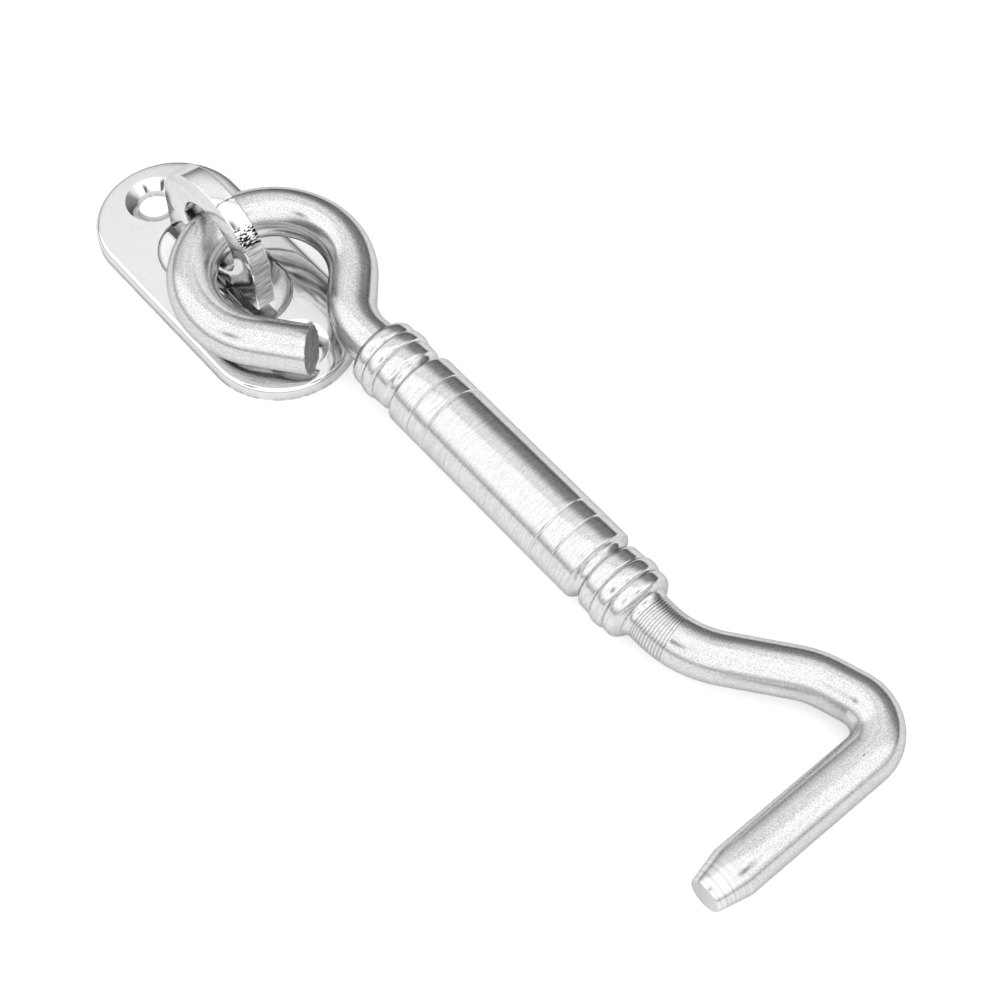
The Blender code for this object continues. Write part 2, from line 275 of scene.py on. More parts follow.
def stamping_marks(tree, place):
    """Crackle where the eye's rim turns down to the filed edge, and one thin crack across its crown."""
    parts = add(tree, "SeparateXYZ", (place,)).outputs
    flat = add(tree, "VectorMath", (place, (1.0, 0.0, 1.0)), operation="MULTIPLY")
    centre = (-EYE_SET_BACK, 0.0, EYE_CENTRE_HEIGHT)
    radius = add(tree, "VectorMath", (flat, centre), operation="DISTANCE")
    filed = FILED_TO_HEIGHT
    band = add(tree, "Math", (parts["X"], CRACKLE_BEYOND), operation="GREATER_THAN")
    for limit in (
        (parts["Z"], filed - 0.3, filed + 0.2, 0.0, 1.0),
        (parts["Z"], CRACKLE_FADES_FROM, CRACKLE_FADES_TO, 1.0, 0.0),
        (radius, EYE_RADIUS - EYE_ARRIS, EYE_RADIUS - 0.1, 0.0, 1.0),
    ):
        band = add(tree, "Math", (band, add(tree, "MapRange", limit)), operation="MULTIPLY")
    crackle = pattern(tree, place, (1.0, 1.8, 0.6), 2.5, 4.0, (math.radians(30), 0.0, 0.0))
    dense = add(tree, "Math", (band, 0.1, crackle), operation="MULTIPLY_ADD")
    dark = add(tree, "MapRange", (dense, 0.57, 0.61, 0.0, 1.0))
    within = add(tree, "MapRange", (band, 0.0, 0.2, 0.0, 1.0))
    marks = add(tree, "Math", (dark, within), operation="MULTIPLY")

    wander = pattern(tree, place, EVEN, 0.9, 3.0)
    across = add(tree, "Math", (wander, 1.2, parts["X"]), operation="MULTIPLY_ADD")
    from_crack = add(tree, "Math", (across, CRACK_AT), operation="SUBTRACT")
    off = add(tree, "Math", (from_crack,), operation="ABSOLUTE")
    line = add(tree, "MapRange", (off, 0.03, 0.1, 0.8, 0.0))
    on_crown = add(tree, "Math", (parts["Z"], CROWN_ABOVE), operation="GREATER_THAN")
    crack = add(tree, "Math", (line, on_crown), operation="MULTIPLY")
    return add(tree, "Math", (marks, crack), operation="MAXIMUM")


def polished_eye_steel():
    # Stamped stainless steel, tumbled bright: softer than the plate, with faint brushing down its faces
    material, tree, shader = steel("tumble polished stainless steel", "#E4E4E4", 0.12)
    place = in_millimetres(tree)
    cloud = pattern(tree, place, EVEN, 0.5, 4.0)
    brushed = pattern(tree, place, (0.12, 0.3, 4.0), 0.8, 3.0, (0.0, math.radians(35), 0.0))
    streaks = add(tree, "MapRange", (brushed, 0.3, 0.7, 0.0, 1.0))
    bright = add(tree, "Mix", (streaks, "#E4E4E4", "#F6F6F6"), data_type="RGBA")
    marks = stamping_marks(tree, place)
    dents = add(tree, "Bump", {"Height": cloud, "Distance": 0.02 * MM})
    dress(
        tree,
        shader,
        colour=add(tree, "Mix", (marks, bright, "#1E1E1E"), data_type="RGBA"),
        normal=add(tree, "Bump", {"Height": marks, "Distance": -0.05 * MM, "Normal": dents}),
        roughness=add(tree, "MapRange", (cloud, 0.3, 0.7, 0.08, 0.15)),
    )
    return material


def filed_steel():
    # The eye's lower edges, filed by hand: rough strokes that cross the edge every 0.2 to 0.4 mm
    material, tree, shader = steel("filed stainless steel", "#D8D8D8", 0.42)
    turn = (math.radians(4), 0.0, 0.0)
    strokes = pattern(tree, in_millimetres(tree), (1.0, 3.0, 0.3), 1.0, 4.0, turn)
    clear = add(tree, "MapRange", (strokes, 0.32, 0.68, 0.0, 1.0))
    dress(
        tree,
        shader,
        colour=add(tree, "Mix", (clear, "#B0B0B0", "#FCFCFC"), data_type="RGBA"),
        normal=add(tree, "Bump", {"Height": strokes, "Distance": 0.03 * MM}),
    )
    return material


def satin_rod_steel(ringed=False):
    # Drawn stainless rod, tumbled to a satin: a fine grain of about 0.2 mm with faint drawing lines.
    # The real grain is finer still, and is drawn as coarse as it has to be to show
    name = "satin stainless rod with turned rings" if ringed else "satin stainless rod"
    material, tree, shader = steel(name, "#DEDEDE", 0.2)
    place = along_the_rod(tree)
    grain = pattern(tree, place, (1.3, 1.0, 1.0), 5.2, 1.0)
    lines = pattern(tree, place, (22.0, 1.0, 1.0), 2.2, 3.0)
    both = add(tree, "Math", (lines, 0.35, grain), operation="MULTIPLY_ADD")
    clear = add(tree, "MapRange", (both, 0.46, 0.88, 0.0, 1.0))
    tone = add(tree, "Mix", (clear, "#C6C6C6", "#EEEEEE"), data_type="RGBA")
    if ringed:
        # Beside the grip the lathe cut fine rings; their bottoms are painted darker, a painted shade in the
        # grooves
        along = add(tree, "SeparateXYZ", (place,))
        begun = add(tree, "Math", (along, FIRST_RING), operation="SUBTRACT")
        turns = add(tree, "Math", (begun, math.tau / RING_PITCH), operation="MULTIPLY")
        wave = add(tree, "Math", (turns,), operation="COSINE")
        # Painted shade: darkens the colour where the rings' grooves bottom out
        painted_ring_shade = add(tree, "MapRange", (wave, 0.1, 1.0, 0.0, 1.0))
        tone = add(tree, "Mix", (painted_ring_shade, tone, "#A6A6A6"), data_type="RGBA")
    nicked = nicks(tree, place, (3.0, 1.0, 1.0), 3.4, 0.13, 0.3)
    drawn = add(tree, "Bump", {"Height": lines, "Distance": 0.004 * MM})
    worn = pattern(tree, place, EVEN, 0.3, 3.0)
    dress(
        tree,
        shader,
        colour=add(tree, "Mix", (nicked, tone, "#5A5A5A"), data_type="RGBA"),
        normal=add(tree, "Bump", {"Height": grain, "Distance": 0.006 * MM, "Normal": drawn}),
        roughness=add(tree, "MapRange", (worn, 0.3, 0.7, 0.18, 0.24)),
    )
    return material


def pointed_rod_steel():
    # The same rod where it was pointed on a lathe: rings 0.3 mm apart round the taper
    material, tree, shader = steel("lathe pointed stainless rod", "#E2E2E2", 0.2)
    rings = pattern(tree, along_the_rod(tree), (1.0, 30.0, 30.0), 3.2)
    clear = add(tree, "MapRange", (rings, 0.3, 0.7, 0.0, 1.0))
    dress(
        tree,
        shader,
        colour=add(tree, "Mix", (clear, "#D2D2D2", "#F2F2F2"), data_type="RGBA"),
        normal=add(tree, "Bump", {"Height": rings, "Distance": 0.006 * MM}),
    )
    return material


def turned_grip_steel():
    # Free cutting stainless bar off the lathe: fine tool marks round it, 0.1 to 0.3 mm apart, which
    # break a reflection up into short bright and dark dashes
    material, tree, shader = steel("lathe turned stainless steel", "#E8E8E8", 0.18)
    place = along_the_rod(tree)
    marks = pattern(tree, place, (1.0, 14.0, 14.0), 6.0)
    specks = pattern(tree, place, (0.7, 2.0, 2.0), 4.4, 1.0)
    both = add(tree, "Math", (specks, 0.8, marks), operation="MULTIPLY_ADD")
    clear = add(tree, "MapRange", (both, 0.66, 1.14, 0.0, 1.0))
    tone = add(tree, "Mix", (clear, "#CECECE", "#EEEEEE"), data_type="RGBA")
    nicked = nicks(tree, place, EVEN, 4.6, 0.16, 0.3)
    dress(
        tree,
        shader,
        colour=add(tree, "Mix", (nicked, tone, "#3C3C3C"), data_type="RGBA"),
        normal=add(tree, "Bump", {"Height": both, "Distance": 0.004 * MM}),
    )
    return material


def sawn_steel():
    # End of the rod as the saw left it: dull, with ridges that run across the cut
    material, tree, shader = steel("sawn stainless steel", "#9A9A9A", 0.4)
    ridges = pattern(tree, along_the_rod(tree), (1.0, 0.45, 3.0), 1.8, 4.0)
    clear = add(tree, "MapRange", (ridges, 0.3, 0.7, 0.0, 1.0))
    dress(
        tree,
        shader,
        colour=add(tree, "Mix", (clear, "#848484", "#D4D4D4"), data_type="RGBA"),
        normal=add(tree, "Bump", {"Height": ridges, "Distance": 0.2 * MM}),
    )
    return material


def stamped_steel():
    # Washer and peened head, as they left the press and the hammer: dull, with shallow dents
    material, tree, shader = steel("stamped stainless steel", "#B8B8B8", 0.4)
    dents = pattern(tree, in_millimetres(tree), EVEN, 1.2, 4.0)
    clear = add(tree, "MapRange", (dents, 0.3, 0.7, 0.0, 1.0))
    dress(
        tree,
        shader,
        colour=add(tree, "Mix", (clear, "#A2A2A2", "#CACACA"), data_type="RGBA"),
        normal=add(tree, "Bump", {"Height": dents, "Distance": 0.1 * MM}),
    )
    return material


def finish_piece(name, bm, materials, body, node, place=None):
    """Turns a bmesh in millimetres into a piece of the latch, in metres, where it belongs."""
    bmesh.ops.remove_doubles(bm, verts=bm.verts, dist=MERGED_WITHIN)
    bmesh.ops.recalc_face_normals(bm, faces=bm.faces)
    scale = Matrix.Scale(MM, 4)
    bmesh.ops.transform(bm, matrix=scale @ (place or Matrix.Identity(4)), verts=bm.verts)
    mesh = bpy.data.meshes.new(name)
    bm.to_mesh(mesh)
    bm.free()
    mesh.shade_smooth()
    mesh.set_sharp_from_angle(angle=math.radians(40))
    for material in materials:
        mesh.materials.append(material)
    piece = bpy.data.objects.new(name, mesh)
    bpy.context.scene.collection.objects.link(piece)
    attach(piece, body)
    if node:
        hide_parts(node)
    return piece


def extruded(bm, edges):
    """Extrudes a ring of edges and returns the new ring's corners and edges."""
    made = bmesh.ops.extrude_edge_only(bm, edges=edges)["geom"]
    verts = [item for item in made if isinstance(item, bmesh.types.BMVert)]
    found = set(verts)
    edges = [
        item
        for item in made
        if isinstance(item, bmesh.types.BMEdge) and item.verts[0] in found and item.verts[1] in found
    ]
    return verts, edges


class Rod:
    """A round bar drawn along a flat path, which remembers where each corner lies along it."""

    def __init__(self, x, y, heading, radius=ROD_RADIUS):
        self.bm = bmesh.new()
        self.own = self.bm.verts.layers.float_vector.new("own_mm")
        self.x, self.y, self.heading = x, y, math.radians(heading)
        self.travelled = 0.0
        self.radius = radius
        stand = Matrix.Rotation(self.heading, 4, "Z") @ Matrix.Rotation(math.pi / 2, 4, "Y")
        made = bmesh.ops.create_circle(self.bm, cap_ends=False, segments=ROD_SIDES, radius=radius)
        self.verts = made["verts"]
        for vert in self.verts:
            vert[self.own] = (0.0, vert.co.x, vert.co.y)
        bmesh.ops.transform(self.bm, matrix=Matrix.Translation((x, y, 0)) @ stand, verts=self.verts)
        self.edges = list(self.bm.edges)
        self.first_ring = list(self.edges)

    def step(self, length, radius=None, bend_radius=0.0):
        """One ring of corners further on. A positive bend radius curves left and a negative one right."""
        self.verts, self.edges = extruded(self.bm, self.edges)
        if bend_radius:
            angle = length / bend_radius
            centre = Vector((-math.sin(self.heading), math.cos(self.heading), 0)) * bend_radius
            centre += Vector((self.x, self.y, 0))
            turning = Matrix.Rotation(angle, 3, "Z")
            bmesh.ops.rotate(self.bm, cent=centre, matrix=turning, verts=self.verts)
            self.heading += angle
            self.x = centre.x + bend_radius * math.sin(self.heading)
            self.y = centre.y - bend_radius * math.cos(self.heading)
        elif length:
            shift = Vector((math.cos(self.heading), math.sin(self.heading), 0)) * length
            bmesh.ops.translate(self.bm, vec=shift, verts=self.verts)
            self.x += shift.x
            self.y += shift.y
        factor = (radius or self.radius) / self.radius
        self.radius *= factor
        about = Matrix.Translation((-self.x, -self.y, 0))
        bmesh.ops.scale(self.bm, vec=(factor, factor, factor), space=about, verts=self.verts)
        self.travelled += length
        for vert in self.verts:
            across = vert[self.own]
            vert[self.own] = (self.travelled, across[1] * factor, across[2] * factor)

    def ahead(self, length, radius=None, steps=1):
        """Draws the bar straight on, tapering evenly if a new radius is given."""
        start = self.radius
        target = radius or start
        for i in range(1, steps + 1):
            self.step(length / steps, start + (target - start) * i / steps)

    def turn(self, angle, bend_radius):
        """Bends the bar to the left for a positive angle and to the right for a negative one."""
        steps = max(2, math.ceil(abs(angle) / BEND_STEP))
        length = abs(math.radians(angle)) * bend_radius
        for _ in range(steps):
            self.step(length / steps, None, math.copysign(bend_radius, angle))

    def close(self):
        bmesh.ops.contextual_create(self.bm, geom=self.first_ring)
        bmesh.ops.contextual_create(self.bm, geom=self.edges)

    def mark(self, material_index, start, end):
        """Gives a stretch of the bar another material."""
        for face in self.bm.faces:
            if all(start <= vert[self.own].x <= end for vert in face.verts):
                face.material_index = material_index


def loop_centre():
    aside = AXIS_OFFSET - LOOP_OFFSET
    return math.sqrt(LOOP_RADIUS**2 - aside**2), aside


def grip_start():
    return loop_centre()[0] + LOOP_TO_GRIP


def eye_place():
    """How the eye stands, turned a little on its swivel."""
    return Matrix.Rotation(math.radians(EYE_TURN), 4, "Z")


def arm_place():
    """Where the arm hangs: at its pivot, tilted until its last bead rests on the surface."""
    reach = grip_start() + GRIP_LENGTH - BEAD_FROM_END
    drop = PIVOT.z - BEAD_RADIUS
    tilt = math.asin(drop / math.hypot(reach, drop))
    return eye_place() @ Matrix.Translation(PIVOT) @ Matrix.Rotation(tilt, 4, "Y")


def roughen_cut(rod):
    """Slopes the sawn end back at its top and breaks it up, without making the rod longer."""
    ahead = Vector((math.cos(rod.heading), math.sin(rod.heading), 0))
    for vert in rod.bm.verts:
        _, side, up = vert[rod.own]
        ridges = noise.noise(Vector((side * 1.3, up * 0.5, 0.0)))
        ridges += 0.5 * noise.noise(Vector((side, up, 4.0)) * 2.4)
        vert.co += ahead * (CUT_SLOPE * (ROD_RADIUS - side) + CUT_ROUGHNESS * (1 + ridges))


def make_loop_rod(satin, sawn):
    centre_x, centre_y = loop_centre()
    heading = math.radians(180 + CUT_LEG_ANGLE)
    start_x = centre_x - LOOP_RADIUS * math.sin(heading) - CUT_LEG_LENGTH * math.cos(heading)
    start_y = centre_y + LOOP_RADIUS * math.cos(heading) - CUT_LEG_LENGTH * math.sin(heading)
    # The cut end is drawn in rings from its middle outwards, so that it can be roughened
    rod = Rod(start_x, start_y, 180 + CUT_LEG_ANGLE, 0.3)
    rod.ahead(0.0, ROD_RADIUS - CUT_BURR, steps=10)
    rod.ahead(CUT_BURR, ROD_RADIUS)
    roughen_cut(rod)
    rod.ahead(CUT_LEG_LENGTH - CUT_BURR, steps=4)
    rod.turn(-(180 + CUT_LEG_ANGLE + NECK_ANGLE), LOOP_RADIUS)
    drop = rod.y - AXIS_OFFSET
    bend_drop = NECK_BEND_RADIUS * (1 - math.cos(math.radians(NECK_ANGLE)))
    rod.ahead((drop - bend_drop) / math.sin(math.radians(NECK_ANGLE)), steps=3)
    rod.turn(NECK_ANGLE, NECK_BEND_RADIUS)
    rod.ahead(grip_start() + SPIGOT - rod.x, steps=6)
    rod.close()
    rod.mark(1, 0.0, 0.01)
    finishes = [satin, sawn]
    return finish_piece("loop_rod_satin", rod.bm, finishes, "hook_arm", "loop_rod", arm_place())


def make_hook_rod(satin, pointed, ringed):
    grip_end = grip_start() + GRIP_LENGTH
    rod = Rod(grip_end - SPIGOT, AXIS_OFFSET, 0)
    # Just inside the grip's mouth the rod swells to the fillet
    rod.ahead(SPIGOT - 0.3, steps=4)
    rod.ahead(0.2, FILLET_RADIUS)
    rod.ahead(0.1)
    fillet_begun = rod.travelled
    fillet_steps = 6
    for i in range(1, fillet_steps + 1):
        share = 1 - i / fillet_steps
        rod.step(FILLET_LENGTH / fillet_steps, ROD_RADIUS + (FILLET_RADIUS - ROD_RADIUS) * share**2.2)
    rings_begun = rod.travelled
    for _ in range(RING_COUNT):
        for depth in (RING_DEPTH, RING_DEPTH, 0.0, 0.0):
            bend = SWAN_RADIUS if rod.travelled - fillet_begun > SWAN_START else 0.0
            rod.step(RING_PITCH / 4, ROD_RADIUS - depth, bend)
    rings_ended = rod.travelled
    rod.turn(SWAN_ANGLE - math.degrees(rod.heading), SWAN_RADIUS)
    rod.ahead(SWAN_RUN, steps=3)
    rod.turn(SHOULDER_ANGLE - SWAN_ANGLE, SHOULDER_RADIUS)
    rod.ahead(SHOULDER_RUN)
    rod.turn(-90 - SHOULDER_ANGLE, HOOK_BEND_RADIUS)
    leg = rod.y - AXIS_OFFSET + TIP_REACH
    rod.ahead(leg - TAPER_LENGTH, steps=8)
    taper = rod.travelled
    rod.ahead(TAPER_LENGTH - TIP_ARRIS, TIP_RADIUS + TIP_ARRIS, steps=3)
    rod.ahead(TIP_ARRIS, TIP_RADIUS)
    rod.close()
    rod.mark(1, taper - 0.01, rod.travelled + 0.01)
    rod.mark(2, rings_begun - 0.01, rings_ended + 0.01)
    finishes = [satin, pointed, ringed]
    return finish_piece("hook_rod_satin", rod.bm, finishes, "hook_arm", "hook_rod", arm_place())


def grip_outline():
    """Half of the grip from its middle outwards: distance along, radius and rounding of the corner."""
    body = GRIP_RADIUS
    groove = body - GROOVE_DEPTH
    outline = []
    for start in (12.24, 15.84):
        outline += [
            (start, body, 0.06),
            (start + 0.22, groove, 0.0),
            (start + 0.36, groove, 0.0),
            (start + 0.52, body, 0.04),
        ]
    # Neck, flat collar, bead and end flange
    outline += [
        (20.40, body - 0.02, 0.35),
        (21.00, 5.15, 0.35),
        (22.00, 5.15, 0.3),
        (22.60, 5.85, 0.3),
        (24.80, 5.90, 0.2),
        (25.00, 5.62, 0.0),
        (25.30, 6.15, 0.25),
        (26.20, BEAD_RADIUS, 0.4),
        (27.30, 6.15, 0.3),
        (27.60, 5.70, 0.0),
        (28.05, 5.95, 0.2),
        (29.50, 5.95, 0.5),
        (30.30, 5.00, 0.25),
        (30.50, 4.62, 0.0),
    ]
    return outline


def make_grip(turned):
    bm = bmesh.new()
    own = bm.verts.layers.float_vector.new("own_mm")
    half = grip_outline()
    end = GRIP_LENGTH / 2
    floor = end - GRIP_SOCKET
    line = [(-floor, 0.0), (-floor, GRIP_BORE), (-end, GRIP_BORE)]
    line += [(-u, r) for u, r, _ in reversed(half)]
    line += [(u, r) for u, r, _ in half]
    line += [(end, GRIP_BORE), (floor, GRIP_BORE), (floor, 0.0)]
    verts = [bm.verts.new((u, r, 0.0)) for u, r in line]
    edges = [bm.edges.new(pair) for pair in zip(verts, verts[1:])]
    bmesh.ops.spin(
        bm,
        geom=verts + edges,
        cent=(0, 0, 0),
        axis=(1, 0, 0),
        angle=math.tau,
        steps=GRIP_SIDES,
        use_merge=True,
    )
    bmesh.ops.remove_doubles(bm, verts=bm.verts, dist=MERGED_WITHIN)
    for u, r, rounding in half:
        if not rounding:
            continue
        for side in (-u, u):
            at_side = (vert for vert in bm.verts if abs(vert.co.x - side) < NEAR)
            on_corner = {vert for vert in at_side if abs(vert.co.yz.length - r) < NEAR}
            corner = [edge for edge in bm.edges if on_corner.issuperset(edge.verts)]
            round_off(bm, corner, rounding, 4)
    for vert in bm.verts:
        vert[own] = vert.co
    place = arm_place() @ Matrix.Translation((grip_start() + end, AXIS_OFFSET, 0))
    return finish_piece("turned_grip", bm, [turned], "hook_arm", "grip", place)


def plate_height(inset):
    """Height of the plate's crowned top at a distance in from its outline."""
    shoulder = PLATE_SIDE + PLATE_EDGE_RADIUS
    share = (inset - PLATE_EDGE_RADIUS) / (PLATE_WIDTH / 2 - PLATE_EDGE_RADIUS)
    return shoulder + (PLATE_CROWN - shoulder) * math.sin(share * math.pi / 2)


def long_disc(outline, reach, sides):
    """A closed body with round ends: each step of its outline is a radius of the ends and a height."""
    bm = bmesh.new()
    radius, height = outline[0]
    made = bmesh.ops.create_circle(
        bm,
        cap_ends=False,
        segments=sides,
        radius=radius,
        matrix=Matrix.Translation((0, 0, height)) @ Matrix.Rotation(math.pi / sides, 4, "Z"),
    )
    verts, edges = made["verts"], list(bm.edges)
    for side in (-1, 1):
        ends = [v for v in verts if v.co.x * side > 0]
        bmesh.ops.translate(bm, vec=(side * reach, 0, 0), verts=ends)
    bmesh.ops.contextual_create(bm, geom=edges)
    for wider, higher in outline[1:]:
        verts, edges = extruded(bm, edges)
        bmesh.ops.translate(bm, vec=(0, 0, higher - height), verts=verts)
        for side in (-1, 1):
            ends = [v for v in verts if v.co.x * side > 0]
            factor = wider / radius
            about = Matrix.Translation((-side * reach, 0, 0))
            bmesh.ops.scale(bm, vec=(factor, factor, 1), space=about, verts=ends)
        radius, height = wider, higher
    bmesh.ops.contextual_create(bm, geom=edges)
    bmesh.ops.recalc_face_normals(bm, faces=bm.faces)
    return bm


def as_object(name, bm, shift=0.0):
    bmesh.ops.translate(bm, vec=(shift, 0, 0), verts=bm.verts)
    mesh = bpy.data.meshes.new(name)
    bm.to_mesh(mesh)
    bm.free()
    thing = bpy.data.objects.new(name, mesh)
    bpy.context.scene.collection.objects.link(thing)
    return thing


def cut_away(bm, tools):
    """Cuts the tools out of a bmesh and returns what is left."""
    thing = as_object("uncut", bm)
    for tool in tools:
        modifier = thing.modifiers.new(tool.name, "BOOLEAN")
        modifier.operation = "DIFFERENCE"
        modifier.solver = "EXACT"
        modifier.object = tool
    shape = thing.evaluated_get(bpy.context.evaluated_depsgraph_get()).to_mesh()
    left = bmesh.new()
    left.from_mesh(shape)
    for used in [thing, *tools]:
        bpy.data.objects.remove(used, do_unlink=True)
    return left


def round_off(bm, edges, offset, segments):
    bmesh.ops.bevel(
        bm,
        geom=edges,
        offset=offset,
        offset_type="OFFSET",
        affect="EDGES",
        segments=segments,
        profile=0.5,
        material=-1,
        clamp_overlap=True,
    )


def sharp_edges(bm, angle, lowest=-math.inf):
    """Edges that turn by more than the angle and lie above the lowest height."""
    return [
        edge
        for edge in bm.edges
        if len(edge.link_faces) == 2
        and edge.calc_face_angle() > math.radians(angle)
        and min(vert.co.z for vert in edge.verts) > lowest
    ]


def make_plate(polished):
    half_width = PLATE_WIDTH / 2
    outline = [(half_width, 0.0)]
    edge_steps = 8
    for i in range(edge_steps):
        angle = math.radians(90 * i / edge_steps)
        inset = PLATE_EDGE_RADIUS * (1 - math.cos(angle))
        outline.append((half_width - inset, PLATE_SIDE + PLATE_EDGE_RADIUS * math.sin(angle)))
    # The crown stops short of the plate's middle line, where its rings of corners would meet
    innermost = half_width * 0.97
    crown_steps = 24
    for i in range(1, crown_steps + 1):
        inset = PLATE_EDGE_RADIUS + (innermost - PLATE_EDGE_RADIUS) * i / crown_steps
        outline.append((half_width - inset, plate_height(inset)))
    plate = long_disc(outline, PLATE_LENGTH / 2 - half_width, 128)

    floor_half = RECESS_FLOOR_WIDTH / 2
    rim_half = RECESS_WIDTH / 2
    bowl = []
    bowl_steps = 12
    for i in range(bowl_steps + 1):
        angle = math.radians(90 * i / bowl_steps)
        wide = floor_half + (rim_half - floor_half) * math.sin(angle)
        bowl.append((wide, PLATE_CROWN - (PLATE_CROWN - RECESS_FLOOR) * math.cos(angle)))
    bowl.append((rim_half, PLATE_CROWN + 1))
    tools = [as_object("recess", long_disc(bowl, (RECESS_LENGTH - RECESS_WIDTH) / 2, 96))]
    shaft = [(STEM_HOLE_RADIUS, 0.5), (STEM_HOLE_RADIUS, PLATE_CROWN)]
    tools.append(as_object("stem_hole", long_disc(shaft, 0, 64)))
    bore = [(BACK_BORE_RADIUS, -1.0), (BACK_BORE_RADIUS, BACK_BORE_DEPTH)]
    tools.append(as_object("back_bore", long_disc(bore, 0, 64)))
    screw = [
        (SCREW_HOLE / 2, -1.0),
        (SCREW_HOLE / 2, COUNTERSINK_LAND),
        (COUNTERSINK - SCREW_HOLE / 2, COUNTERSINK_LAND + 2 * COUNTERSINK_RISE),
    ]
    for side in (-1, 1):
        tools.append(as_object("screw_hole", long_disc(screw, 0, 96), side * SCREW_SPACING / 2))
    plate = cut_away(plate, tools)
    round_off(plate, sharp_edges(plate, 24), PLATE_ARRIS, 3)
    return finish_piece("polished_plate", plate, [polished], "plate", "base_plate")


def make_eye(polished, filed):
    bm = bmesh.new()
    start = bm.verts.new((EYE_RADIUS - EYE_SET_BACK, 0.0, EYE_CENTRE_HEIGHT))
    bmesh.ops.spin(
        bm,
        geom=[start],
        cent=(-EYE_SET_BACK, 0, EYE_CENTRE_HEIGHT),
        axis=(0, -1, 0),
        angle=math.pi,
        steps=72,
    )
    level = (vert for vert in bm.verts if abs(vert.co.z - EYE_CENTRE_HEIGHT) < NEAR)
    ends = sorted(level, key=lambda vert: vert.co.x)
    corners = [
        (-EYE_RADIUS - EYE_SET_BACK, EYE_FOOT_HEIGHT),
        (-TANG_WIDTH / 2, EYE_FOOT_HEIGHT),
        (-TANG_WIDTH / 2, TANG_BOTTOM),
        (TANG_WIDTH / 2, TANG_BOTTOM),
        (TANG_WIDTH / 2, EYE_FOOT_HEIGHT),
        (EYE_RADIUS - EYE_SET_BACK, EYE_FOOT_HEIGHT),
    ]
    lower = [bm.verts.new((x, 0.0, z)) for x, z in corners]
    chain = [ends[0], *lower, ends[-1]]
    for pair in zip(chain, chain[1:]):
        bm.edges.new(pair)
    face = bmesh.ops.contextual_create(bm, geom=list(bm.edges))["faces"]
    bmesh.ops.translate(bm, vec=(0, EYE_SIDE_SHIFT - EYE_THICKNESS / 2, 0), verts=bm.verts)
    pushed = bmesh.ops.extrude_face_region(bm, geom=face)["geom"]
    moved = [item for item in pushed if isinstance(item, bmesh.types.BMVert)]
    bmesh.ops.translate(bm, vec=(0, EYE_THICKNESS, 0), verts=moved)
    bmesh.ops.recalc_face_normals(bm, faces=bm.faces)
    hole = long_disc([(EYE_HOLE_RADIUS, -4.0), (EYE_HOLE_RADIUS, 4.0)], 0, 96)
    stand = Matrix.Translation((-EYE_SET_BACK, 0, EYE_HOLE_HEIGHT)) @ Matrix.Rotation(math.pi / 2, 4, "X")
    bmesh.ops.transform(hole, matrix=stand, verts=hole.verts)
    eye = cut_away(bm, [as_object("eye_hole", hole)])
    round_off(eye, sharp_edges(eye, 50, EYE_FOOT_HEIGHT - 0.1), EYE_ARRIS, 4)
    for face in eye.faces:
        middle = face.calc_center_median()
        across = Vector((middle.x + EYE_SET_BACK, middle.z - EYE_CENTRE_HEIGHT))
        outside = across.length > EYE_RADIUS - EYE_ARRIS - 0.05 or middle.z < EYE_FOOT_HEIGHT + 0.1
        if abs(face.normal.y) < 0.1 and outside and middle.z < FILED_TO_HEIGHT:
            face.material_index = 1
    return finish_piece("polished_eye", eye, [polished, filed], "eye", "eye", eye_place())


def make_washer(stamped):
    ring = long_disc([(WASHER_RADIUS, WASHER_BOTTOM), (WASHER_RADIUS, WASHER_TOP)], 0, 96)
    slot = bmesh.new()
    opening = Matrix.Diagonal((TANG_WIDTH + 2 * TANG_GAP, EYE_THICKNESS + 2 * TANG_GAP, 6.0, 1.0))
    bmesh.ops.create_cube(slot, size=1.0, matrix=Matrix.Translation((0, EYE_SIDE_SHIFT, 0)) @ opening)
    washer = cut_away(ring, [as_object("tang_slot", slot)])
    round_off(washer, sharp_edges(washer, 50), WASHER_ARRIS, 2)
    return finish_piece("tang_washer", washer, [stamped], "eye", "eye_washer", eye_place())


def make_peened_head(stamped):
    bottom = TANG_BOTTOM - HEAD_THICKNESS
    dome = [
        (HEAD_RADIUS * 0.55, bottom),
        (HEAD_RADIUS * 0.85, bottom + 0.04),
        (HEAD_RADIUS * 0.97, bottom + 0.1),
        (HEAD_RADIUS, bottom + 0.2),
        (HEAD_RADIUS * 0.98, TANG_BOTTOM),
    ]
    return finish_piece("peened_head", long_disc(dome, 0, 64), [stamped], "eye", None, eye_place())


def make_floor():
    bm = bmesh.new()
    bmesh.ops.create_grid(bm, x_segments=1, y_segments=1, size=6.0)
    floor = as_object("floor", bm)
    material = bpy.data.materials.new("white table")
    material.use_nodes = True
    tree = material.node_tree
    tree.nodes.remove(tree.nodes["Principled BSDF"])
    sheet = add(tree, "BsdfDiffuse", {"Color": "#F6F6F6"})
    rays = add(tree, "LightPath").outputs
    bounced = (rays["Is Glossy Ray"], rays["Is Transmission Ray"])
    reflected = add(tree, "Math", bounced, operation="MAXIMUM")
    lift = add(tree, "Math", (reflected, REFLECTED_LIFT), operation="MULTIPLY")
    lift = add(tree, "Math", (rays["Is Camera Ray"], TABLE_LIFT, lift), operation="MULTIPLY_ADD")
    glow = add(tree, "Emission", {"Color": "#FFFFFF", "Strength": lift})
    both = add(tree, "AddShader", (sheet, glow))
    fill(tree, tree.nodes["Material Output"].inputs["Surface"], both)
    floor.data.materials.append(material)


